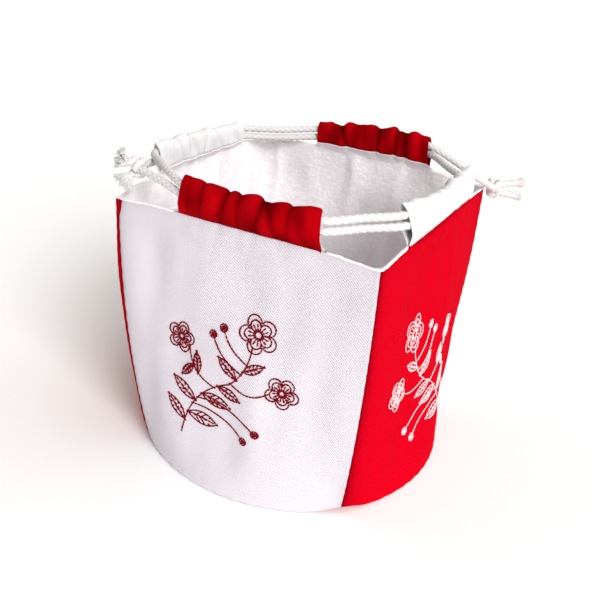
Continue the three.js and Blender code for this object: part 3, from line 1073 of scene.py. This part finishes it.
class BENTO_OT_cords(bpy.types.Operator):
    """Braid the two drawcords along their route through the casings"""
    bl_idname = "bento.cords"
    bl_label = "Drawcords"

    def execute(self, context):
        sizes, colours = settings(context)
        diameter = sizes.cord_diameter
        material = cord_finish(colours)
        for level, knot, first, corners in DRAWCORDS:
            sections = cord_sections(sizes, level, knot, first, corners)
            routes = cord_routes(sections)
            whole = np.vstack([route[:-1] for route in routes] + [routes[-1][-1:]])
            one, two = route_frames(whole)
            begin, travelled = 0, 0.0
            for (kind, side, half, node, _), route in zip(sections, routes):
                end = begin + len(route)
                part, frames = whole[begin:end], (one[begin:end], two[begin:end])
                name = f"{level}_cord_{SIDE_NAMES[side]}_{half_name(half)}_{kind}"
                piece = cord_piece(name, part, frames, travelled, diameter, material)
                length = float(steps(part).sum())
                outward = part if half > 0 else part[::-1]
                self.hold(piece, kind, side, half, knot, outward)
                self.stand_for(piece, kind, side, level, node, knot)
                begin, travelled = end - 1, travelled + length
        return {"FINISHED"}

    def hold(self, piece, kind, side, half, knot, outward):
        if kind == "run":
            follow_corner(piece)
            return
        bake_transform(piece)

    def stand_for(self, piece, kind, side, level, node, knot):
        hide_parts(f"{SIDE_NAMES[side]}_{level}_run")
        if node:
            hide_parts(node)
        if kind == "strand":
            place = SIDE_NAMES[side] if SIDE_NAMES[side] in ("front", "back") else "side"
            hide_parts(f"{knot}_knot_{place}_strand")


# Each knot: the slopes of its upper and lower tail, their braided length, and the length, spread and curl of
# their fray
KNOTS = (
    ("left", (0.42, -0.80), 0.0040, (0.0080, 0.60, 0.007)),
    ("right", (0.06, -0.20), 0.0135, (0.0060, 0.15, 0.004)),
)

# A knot's loops: how far they swing across, up and out, how far they sit above its centre, how far its
# cord is squeezed, and how far from its centre the strands end
KNOT_WIDE, KNOT_TALL, KNOT_DEEP = 0.00125, 0.00175, 0.0024
KNOT_RISE, KNOT_SQUEEZE = 0.001, 0.92
KNOT_SEAT = 0.0035

# Where a tail leaves its knot, outwards and up or down, how far its fray reaches back over its braid, and the
# thickness of a fibre
TAIL_OUT, TAIL_UP = 0.0030, 0.0026
FRAY_OVERLAP, FIBRE = 0.0015, 0.00022


class BENTO_OT_knots(bpy.types.Operator):
    """Tie the two knots and fray their tails"""
    bl_idname = "bento.knots"
    bl_label = "Knots and Tails"

    def execute(self, context):
        sizes, colours = settings(context)
        material, fluff = cord_finish(colours), fluff_finish(colours)
        for number, (name, tilts, braided, fray) in enumerate(KNOTS):
            centre = knot_centre(name)
            out = unit(centre * (1, 1, 0))
            self.tie(name, centre, out, sizes, material)
            for way, place, tilt in ((1, "upper", tilts[0]), (-1, "lower", tilts[1])):
                lean = np.array([0, 0, math.sin(tilt)]) + out * math.cos(tilt)
                start = centre + out * TAIL_OUT + np.array([0, 0, way * TAIL_UP])
                node = f"{name}_{place}_tail"
                self.braid_tail(node, name, start, lean, braided, sizes, material)
                start = start + lean * (braided - FRAY_OVERLAP)
                self.fray(node, name, start, lean, fray, FRAY_SEED + 10 * number + way, sizes, fluff)
        return {"FINISHED"}

    def tie(self, name, centre, out, sizes, material):
        """The three loops of an overhand knot."""
        turn = np.linspace(0, math.tau, 181)
        up, across = np.array([0, 0, 1.0]), np.cross(out, (0, 0, 1.0))
        wide = (np.sin(turn) + 2 * np.sin(2 * turn)) * KNOT_WIDE
        tall = (np.cos(turn) - 2 * np.cos(2 * turn)) * KNOT_TALL + KNOT_RISE
        deep = -np.sin(3 * turn) * KNOT_DEEP
        route = centre + wide[:, None] * across + tall[:, None] * up + deep[:, None] * out
        route = even_steps(route, CORD_STEP)
        turns = cord_piece(name + "_knot_turns", route, route_frames(route), 0.0,
                           sizes.cord_diameter * KNOT_SQUEEZE, material)
        self.stand_for(turns, name + "_knot", name)

    def braid_tail(self, node, name, start, way, length, sizes, material):
        route = even_steps(np.array([start, start + way * length]), CORD_STEP)
        tail = cord_piece(node + "_braid", route, route_frames(route), 0.0, sizes.cord_diameter, material)
        self.stand_for(tail, node, name)

    def fray(self, node, name, start, way, fray, seed, sizes, material):
        length, spread, curl = fray
        fibres = from_nodes(node + "_fibres", path_mesh([[(0, 0, 0), (0, 0, 0.001)]]), fray_tree(), {
            "Fibres": sizes.fibres, "Length": length, "Width": sizes.cord_diameter * 0.85, "Spread": spread,
            "Curl": curl, "Fibre": FIBRE, "Finish": material, "Seed": seed})
        aim = Vector(way).to_track_quat("Z", "Y").to_matrix().to_4x4()
        fibres.data.transform(Matrix.Translation(Vector(start)) @ aim)
        self.stand_for(fibres, node, name)

    def stand_for(self, piece, node, name):
        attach(piece, name + "_pull")
        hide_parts(node)


# Cloth

def wall_grid(half, columns, hem_rows, rows):
    """Places over half a wall, from its middle to a seam and from its hem to its top."""
    t = np.linspace(0, 1, columns) if half > 0 else np.linspace(-1, 0, columns)
    q = np.concatenate([np.linspace(-1, 0, hem_rows)[:-1], np.linspace(0, 1, rows)])
    return np.meshgrid(t * (1.25 - 0.25 * np.abs(t)), q)


def flat_places(points):
    """Flat coordinates of a cloth grid, in metres across and up."""
    return np.stack(np.meshgrid(running(steps(points, 1).mean(0)), running(steps(points).mean(1))), axis=-1)


def sew_half(side, half, part, outer, inner, face, material, shade):
    """Half of a panel, lining or casing, which stands for its node."""
    node = f"{SIDE_NAMES[side]}_{part}"
    piece = cloth_piece(f"{node}_{half_name(half)}", turned(outer, side), turned(inner, side),
                        flat_places(face), material, shade)
    follow_corner(piece)
    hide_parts(node)


def stitch_half(name, paths, values):
    """Stitches along paths on half of a side."""
    piece = from_nodes(name, path_mesh(paths), stitch_tree(), values)
    follow_corner(piece)


class BENTO_OT_panels(bpy.types.Operator):
    """Sew the four outer panels, each as two halves"""
    bl_idname = "bento.panels"
    bl_label = "Outer Panels"

    def execute(self, context):
        sizes, colours = settings(context)
        for side in range(4):
            slot = "red_canvas" if side % 2 else "white_canvas"
            material = panel_finish(sizes, colours, slot)
            for half in HALVES:
                u, q = wall_grid(half, columns=68, hem_rows=12, rows=112)
                u = u * np.abs(seam_ends(side, q)[half > 0])
                outer = panel_point(sizes, side, u, q)
                inner = outer - wall_normals(u, q) * sizes.cloth_thickness
                inner[..., 2] = np.maximum(inner[..., 2], INNER_GAP)
                sew_half(side, half, "panel", outer, inner, outer, material, panel_shade(side, u, q))
        return {"FINISHED"}


class BENTO_OT_linings(bpy.types.Operator):
    """Hang the soft lining inside the panels and roll its edge over their tops"""
    bl_idname = "bento.linings"
    bl_label = "Linings"

    def execute(self, context):
        sizes, colours = settings(context)
        material = lining_finish(colours)
        for side in range(4):
            for half in HALVES:
                u, q = wall_grid(half, columns=56, hem_rows=8, rows=96)
                face, shade = lining_point(sizes, side, u, q)
                edge = self.rolled_edge(sizes, side, u[0], face[-1])
                face, shade = np.concatenate([face, edge]), np.concatenate([shade, np.ones(edge.shape[:2])])
                back = face + grid_normals(face) * sizes.lining_thickness * 0.6
                sew_half(side, half, "lining", back, face, face, material, shade)
        return {"FINISHED"}

    def rolled_edge(self, sizes, side, columns, top):
        """Rows that carry the lining up the casing's inner leg, or over the panel's raw edge beside it."""
        first, last = CASINGS[side]["ends"]
        beside = np.maximum(first - top[:, 0], top[:, 0] - last)
        open_edge = smooth((beside + ROLL_BEFORE) / ROLL_STRETCH)[:, None]
        panel_edge = panel_point(sizes, side, columns, np.ones_like(columns))
        panel_edge[:, 2] += ROLL_WAVE_HEIGHT * ripple(panel_edge[:, 0], 0.0, ROLL_WAVES, side)
        rows = []
        for turn in np.linspace(0, 1, 9)[1:]:
            angle = ROLL_ANGLE * turn
            deep, high = ROLL_DEPTH * math.cos(angle), ROLL_HEIGHT * math.sin(angle)
            roll = panel_edge + (0.0, ROLL_IN + deep, high - ROLL_DOWN)
            leg = inner_leg(sizes, side, np.clip(top[:, 0], first, last), LEG_CLIMB * turn)
            leg[:, 1] = np.maximum(leg[:, 1] + LEG_GAP, top[:, 1])
            rows.append(leg + (roll - leg) * open_edge)
        return np.array(rows)


class BENTO_OT_base(bpy.types.Operator):
    """Lay the outer base and the lining's base"""
    bl_idname = "bento.base"
    bl_label = "Base"

    def execute(self, context):
        sizes, colours = settings(context)
        self.lay(sizes, "base_panel", "red_canvas", panel_finish(sizes, colours, "red_canvas"), inset=0.0,
                 bottom=OUTER_GAP, thickness=sizes.cloth_thickness, lift=0.9, waves=0.0002)
        self.lay(sizes, "base_lining", "white_lining", lining_finish(colours), inset=0.0016,
                 bottom=sizes.cloth_thickness + BASE_GAP, thickness=sizes.lining_thickness, lift=1.1,
                 waves=0.0012)
        return {"FINISHED"}

    def lay(self, sizes, name, slot, material, inset, bottom, thickness, lift, waves):
        """A disc on a square grid, whose edge follows the rolled hems and lifts at the tucked corners."""
        line = np.linspace(-1, 1, 97)
        a, b = np.meshgrid(line, line)
        ring = np.maximum(np.maximum(np.abs(a), np.abs(b)), 1e-9)
        points = np.zeros(a.shape + (3,))
        corner = np.zeros(a.shape)
        for side, (outward, along) in enumerate(((-b, a), (a, b), (b, -a), (-a, -b))):
            here = np.isclose(outward, ring) & (outward > 0)
            u = np.clip(along / ring, -1, 1)
            rim = turned(rounded_wall(u, np.full(u.shape, -1.0), inset), side)
            points[here] = (rim * ring[..., None])[here]
            corner[here] = tuck(sizes, u, np.zeros_like(u))[here]
        points[..., 2] = bottom + corner * smooth((ring - 0.75) / 0.25) * lift
        points[..., 2] += waves * (1 + ripple(points[..., 0], points[..., 1], BASE_WAVES)) * (1 - ring ** 4)
        top = points + (0.0, 0.0, thickness)
        piece = cloth_piece(name + "_cloth", top, points, flat_places(points), material, np.ones(a.shape))
        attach(piece, "bag")
        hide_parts(name)


class BENTO_OT_casings(bpy.types.Operator):
    """Gather the four casings over the cords"""
    bl_idname = "bento.casings"
    bl_label = "Casings"

    def execute(self, context):
        sizes, colours = settings(context)
        for side in range(4):
            slot = "white_casing" if side % 2 else "red_casing"
            material = casing_finish(sizes, colours, slot)
            thread = thread_finish(slot, getattr(colours, slot), sheen=0.05)
            for half in HALVES:
                end = CASINGS[side]["ends"][half > 0]
                places = np.linspace(0, end, 76) if half > 0 else np.linspace(end, 0, 76)
                x, v = np.meshgrid(places, np.linspace(0, 1, 84))
                outer = casing_point(sizes, side, x, v)
                inner = outer - grid_normals(outer) * CASING_CLOTH
                sew_half(side, half, "casing", outer, inner, outer, material, casing_shade(sizes, side, x, v))
                self.hem(sizes, side, half, slot, thread)
        return {"FINISHED"}

    def hem(self, sizes, side, half, slot, thread):
        """The row of stitches that holds the turned end of a casing."""
        line = np.linspace(0.06, 0.94, 60)
        x = np.full(line.shape, CASINGS[side]["ends"][half > 0] - half * END_HEM_ROW)
        path = turned(casing_point(sizes, side, x, line), side)
        name = f"{SIDE_NAMES[side]}_casing_{half_name(half)}_stitches"
        stitch_half(name, [path], {
            "Stitch": 0.0026, "Overlap": 0.85, "Thread": 0.0004, "Finish": thread, "Seed": HEM_SEED + side})


# Embroidery: sprigs drawn in millimetres across and up a panel

def direction(angle):
    return np.array([math.cos(angle), math.sin(angle)])


def arc_line(start, end, bulge, count=24):
    """A curved line between two points that bulges to its left by a share of its length."""
    start, end = np.asarray(start, float), np.asarray(end, float)
    way = end - start
    side = np.array([-way[1], way[0]])
    t = np.linspace(0, 1, count)[:, None]
    return start + way * t + side * bulge * 4 * t * (1 - t)


def leaf_lines(root, length, angle, width):
    """A pointed leaf with a midrib and side veins."""
    root = np.asarray(root, float)
    way = length * direction(angle)
    side = np.array([-way[1], way[0]])
    lines = [arc_line(root, root + way, width), arc_line(root + way, root, width),
             arc_line(root, root + way * 0.85, 0.02, 10)]
    for place in (0.25, 0.42, 0.59):
        edge = place + 0.16
        for hand in HALVES:
            reach = hand * width * 3.1 * edge * (1 - edge)
            lines.append(np.array([root + way * place, root + way * edge + side * reach]))
    return lines


def ring_line(centre, radius, count=20):
    turn = np.linspace(0, math.tau, count)
    return np.asarray(centre, float) + radius * np.stack([np.cos(turn), np.sin(turn)], axis=1)


def blossom_lines(centre, radius, turn):
    """Five rounded petals round a small ring, with a second row inside and short rays."""
    centre = np.asarray(centre, float)
    angles = np.linspace(0, math.tau, 121) + turn
    ways = np.stack([np.cos(angles), np.sin(angles)], axis=1)
    lobes = np.abs(np.sin(2.5 * (angles - turn)))[:, None] ** 0.7
    outer = centre + ways * radius * (0.62 + 0.38 * lobes)
    inner = centre + ways * radius * (0.42 + 0.32 * lobes)
    rays = [np.array([centre + radius * reach * direction(angle) for reach in (0.24, 0.46)])
            for angle in np.linspace(0, math.tau, 15, endpoint=False) + turn]
    return [outer, inner, ring_line(centre, radius * 0.2), *rays]


def sprig_lines(across, up, scale, mirror):
    """A bending stem with leaves on both sides, three blossoms and a few berries."""
    stem = np.vstack([arc_line((-30, -46), (4, 0), 0.14, 36), arc_line((4, 0), (18, 28), -0.10, 24)[1:]])
    left = arc_line(stem[28], (-26, 16), 0.16, 20)
    right = arc_line(stem[36], (30, 2), -0.16, 16)
    lines = [stem, left, right]
    for place, angle, length in ((5, 2.3, 19), (9, -0.1, 22), (16, 2.5, 20), (21, -0.15, 21), (30, -0.3, 17),
                                 (40, 2.4, 17), (46, 0.5, 15)):
        lines += leaf_lines(stem[place], length, angle, 0.19)
    lines += leaf_lines(left[8], 14, 1.7, 0.2) + leaf_lines(left[12], 13, -2.3, 0.2)
    for centre, radius, turn in (((-33, 20), 10.0, 0.7), ((39, 5), 10.5, 0.4), ((21, 38), 12.5, 0.1)):
        lines += blossom_lines(centre, radius, turn)
    for place, tip in ((50, (-2, 36)), (44, (-9, 30)), (14, (16, -36)), (18, (24, -28))):
        lines += [arc_line(stem[place], tip, 0.1, 14), ring_line(tip, 2.4), ring_line(tip, 1.2, 10)]
    flip = np.array([mirror, 1.0])
    return [np.asarray(line) * flip * scale + (across, up) for line in lines]


class BENTO_OT_embroidery(bpy.types.Operator):
    """Stitch a leafy sprig on the front panel and one on the right panel"""
    bl_idname = "bento.embroidery"
    bl_label = "Embroidery"

    def execute(self, context):
        sizes, colours = settings(context)
        dark = thread_finish("dark", colours.dark_thread, contrast=0.25)
        pale = thread_finish("pale", colours.pale_thread)
        self.sew(sizes, 0, sprig_lines(-2.0, 77.0, 0.97, 1), sizes.dark_thread, dark, "white_canvas")
        self.sew(sizes, 1, sprig_lines(-3.0, 70.0, 1.0, -1), sizes.pale_thread, pale, "red_canvas")
        return {"FINISHED"}

    def sew(self, sizes, side, lines, thread, material, slot):
        """The lines as stitches on a panel's face, in one piece for each half of the panel."""
        paths = {half: [] for half in HALVES}
        for line in lines:
            fine = even_steps(np.column_stack([line / 1000, np.zeros(len(line))]), sizes.stitch * 0.5)
            x, z = fine[:, 0], fine[:, 1]
            u = x / (at_height(z, SIDES) / 2)
            q = (z - HEM_RADIUS) / (top_of(u) - HEM_RADIUS)
            points = turned(panel_point(sizes, side, u, q, thread * 0.15), side)
            for half in HALVES:
                for run in self.runs(x * half >= 0):
                    paths[half].append(points[run[0]:run[-1] + 2])
        for half, found in paths.items():
            found = [path for path in found if len(path) > 1]
            name = f"{SIDE_NAMES[side]}_embroidery_{half_name(half)}"
            stitch_half(name, found, {
                "Stitch": sizes.stitch, "Overlap": 1.25, "Thread": thread, "Finish": material,
                "Seed": SPRIG_SEED + side})

    def runs(self, inside):
        """Stretches of neighbouring places that lie on one half."""
        places = np.flatnonzero(inside)
        return [run for run in np.split(places, np.flatnonzero(np.diff(places) > 1) + 1) if len(run)]


# Stage

# The camera: its bearing and elevation round the bag and its roll, the place it looks at, how far away it
# stands, and its lens and sensor in millimetres
BEARING, ELEVATION, ROLL = (math.radians(angle) for angle in (26.68, 26.15, 4.43))
LOOKS_AT = Vector((0.00199, -0.00834, 0.09893))
DISTANCE = 0.55689
LENS, SENSOR = 51.46, 36.0

# Half the width of the table, and the fill light's colour and strength
TABLE_REACH = 40
FILL_COLOUR, FILL_STRENGTH = (1.0, 0.93, 0.86, 1), 0.36


class BENTO_OT_stage(bpy.types.Operator):
    """Set the camera, the lamps and the pale table"""
    bl_idname = "bento.stage"
    bl_label = "Stage"

    def execute(self, context):
        scene = context.scene
        scene.view_settings.view_transform = "Standard"
        scene.camera = self.camera()
        self.table(tuple(scene.bento_colours.floor))
        self.sky("window", (0.79, -0.56, 0.62), strength=2.7, angle=28)
        self.sky("ceiling", (0.60, 0.32, 0.85), strength=1.0, angle=60)
        self.screen((0.12, -0.33, 0.02), target=(0.02, -0.09, 0.03), power=0.24)
        scene.world = self.room()
        return {"FINISHED"}

    def camera(self):
        data = bpy.data.cameras.new("camera")
        data.lens, data.sensor_width = LENS, SENSOR
        camera = new_object("camera", data)
        turn = Matrix.Rotation(BEARING, 4, "Z") @ Matrix.Rotation(math.pi / 2 - ELEVATION, 4, "X")
        turn = turn @ Matrix.Rotation(ROLL, 4, "Z")
        camera.matrix_world = Matrix.Translation(LOOKS_AT) @ turn @ Matrix.Translation((0, 0, DISTANCE))
        return camera

    def table(self, colour):
        mesh = bpy.data.meshes.new("table")
        corners = [(x * TABLE_REACH, y * TABLE_REACH, 0) for x, y in ((-1, -1), (1, -1), (1, 1), (-1, 1))]
        mesh.from_pydata(corners, [], [(0, 1, 2, 3)])
        material = bpy.data.materials.new("pale_table")
        material.use_nodes = True
        connect(material.node_tree.nodes["Principled BSDF"],
                {"Base Color": (*colour, 1), "Roughness": 0.85, "Specular IOR Level": 0.1})
        mesh.materials.append(material)
        new_object("table", mesh)

    def room(self):
        """A warm fill light all round, and a white backdrop past the edge of the table."""
        world = bpy.data.worlds.new("white room")
        world.use_nodes = True
        tree = world.node_tree
        fill = tree.nodes["Background"]
        connect(fill, {"Color": FILL_COLOUR, "Strength": FILL_STRENGTH})
        backdrop = first_of(tree, "ShaderNodeBackground", {"Color": (1, 1, 1, 1), "Strength": 1.0})
        rays = add_node(tree, "ShaderNodeLightPath")
        mirrored = math_node(tree, "MAXIMUM", rays["Is Glossy Ray"], rays["Is Transmission Ray"])
        seen = math_node(tree, "MAXIMUM", rays["Is Camera Ray"], mirrored)
        both = first_of(tree, "ShaderNodeMixShader", {0: seen, 1: fill.outputs[0], 2: backdrop})
        connect(tree.nodes["World Output"], {"Surface": both})
        return world

    def sky(self, name, place, strength, angle):
        """A broad, far light from one side."""
        data = bpy.data.lights.new(name, "SUN")
        data.angle, data.energy = math.radians(angle), strength
        self.aim(name, data, place, (0, 0, 0))

    def screen(self, place, target, power):
        """A low white screen that lights the front from below the camera."""
        data = bpy.data.lights.new("screen", "AREA")
        data.shape, data.size, data.size_y, data.energy = "RECTANGLE", 0.4, 0.08, power
        self.aim("screen", data, place, target)

    def aim(self, name, data, place, target):
        lamp = new_object(name, data)
        lamp.location = place
        lamp.rotation_euler = (Vector(target) - Vector(place)).to_track_quat("-Z", "Y").to_euler()


class BENTO_PT_sidebar(bpy.types.Panel):
    """Sizes, colours and steps of the bento bag"""
    bl_idname = "BENTO_PT_sidebar"
    bl_label = "Bento Bag"
    bl_space_type = "VIEW_3D"
    bl_region_type = "UI"
    bl_category = "Bento Bag"

    def draw(self, context):
        for title, group in zip(("Sizes", "Colours"), settings(context)):
            box = self.layout.box()
            box.label(text=title)
            for name in type(group).__annotations__:
                box.prop(group, name)
        for step in STEPS:
            self.layout.operator(step.bl_idname)


STEPS = (BENTO_OT_stage, BENTO_OT_cords, BENTO_OT_knots, BENTO_OT_panels, BENTO_OT_linings,
         BENTO_OT_base, BENTO_OT_casings, BENTO_OT_embroidery)
CLASSES = (BentoBagSizes, BentoBagColours, *STEPS, BENTO_PT_sidebar)


def register():
    for each in CLASSES:
        bpy.utils.register_class(each)
    bpy.types.Scene.bento_sizes = PointerProperty(type=BentoBagSizes)
    bpy.types.Scene.bento_colours = PointerProperty(type=BentoBagColours)


def unregister():
    del bpy.types.Scene.bento_colours
    del bpy.types.Scene.bento_sizes
    for each in reversed(CLASSES):
        bpy.utils.unregister_class(each)


def main():
    register()
    bpy.ops.bento.stage()
    bpy.ops.bento.cords()
    bpy.ops.bento.knots()
    bpy.ops.bento.panels()
    bpy.ops.bento.linings()
    bpy.ops.bento.base()
    bpy.ops.bento.casings()
    bpy.ops.bento.embroidery()


if __name__ == "__main__":
    main()
